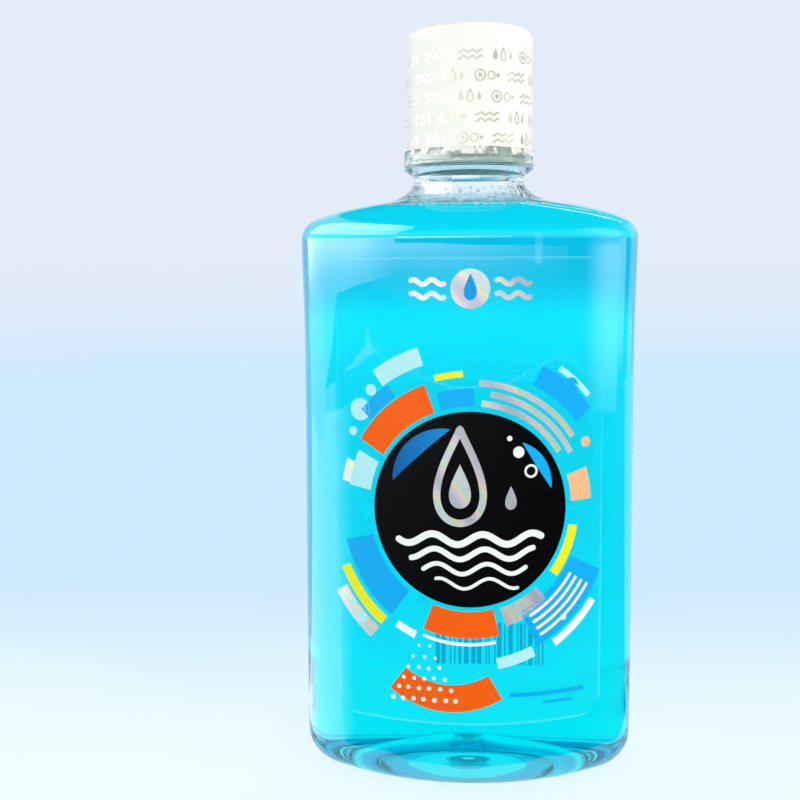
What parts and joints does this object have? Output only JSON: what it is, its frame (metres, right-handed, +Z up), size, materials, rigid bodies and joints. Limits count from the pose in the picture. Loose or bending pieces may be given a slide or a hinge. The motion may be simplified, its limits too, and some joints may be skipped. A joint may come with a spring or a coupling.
{
  "type": "mouthwash bottle",
  "caption": "Flattened oval clear mouthwash bottle filled with blue rinse, film labels front and back, and a screw-on double-walled measuring cap in a printed film sleeve.",
  "frame": {"origin": "middle of the standing face, on the surface that the bottle stands on", "axes": "+Z up along the neck, +X across the wide face, and the front label faces -Y"},
  "size_m": [0.0914, 0.051, 0.2],
  "materials": {
    "clear_bottle": "clear glossy blown plastic",
    "blue_rinse": "clear bright blue liquid",
    "label_film": "clear gloss film printed with coloured and foil inks",
    "clear_cap": "clear glossy moulded plastic",
    "clear_cup": "clear moulded plastic, slightly milky",
    "seal_foam": "matt white foamed plastic",
    "sleeve_film": "glossy white film with a pale grey print"
  },
  "bodies": {
    "filled_bottle": {"bottle": "clear_bottle", "mouthwash": "blue_rinse", "front_label": "label_film", "back_label": "label_film"},
    "seal": {"lip_seal": "seal_foam"},
    "cap": {"cap_outer_shell": "clear_cap", "cap_inner_cup": "clear_cup", "shrink_sleeve": "sleeve_film"}
  },
  "joints": [
    {"name": "cap_lift", "type": "slide", "parent": "filled_bottle", "child": "seal", "axis": [0, 0, 1], "range_m": [0, 0.0255]},
    {"name": "cap_turn", "type": "hinge", "parent": "seal", "child": "cap", "pos_m": [0, 0, 0.1838], "axis": [0, 0, 1], "range_deg": [0, 2160]}
  ],
  "couplings": [
    {"joint": "cap_lift", "follows": "cap_turn", "m_per_rad": 0.0006737}
  ]
}
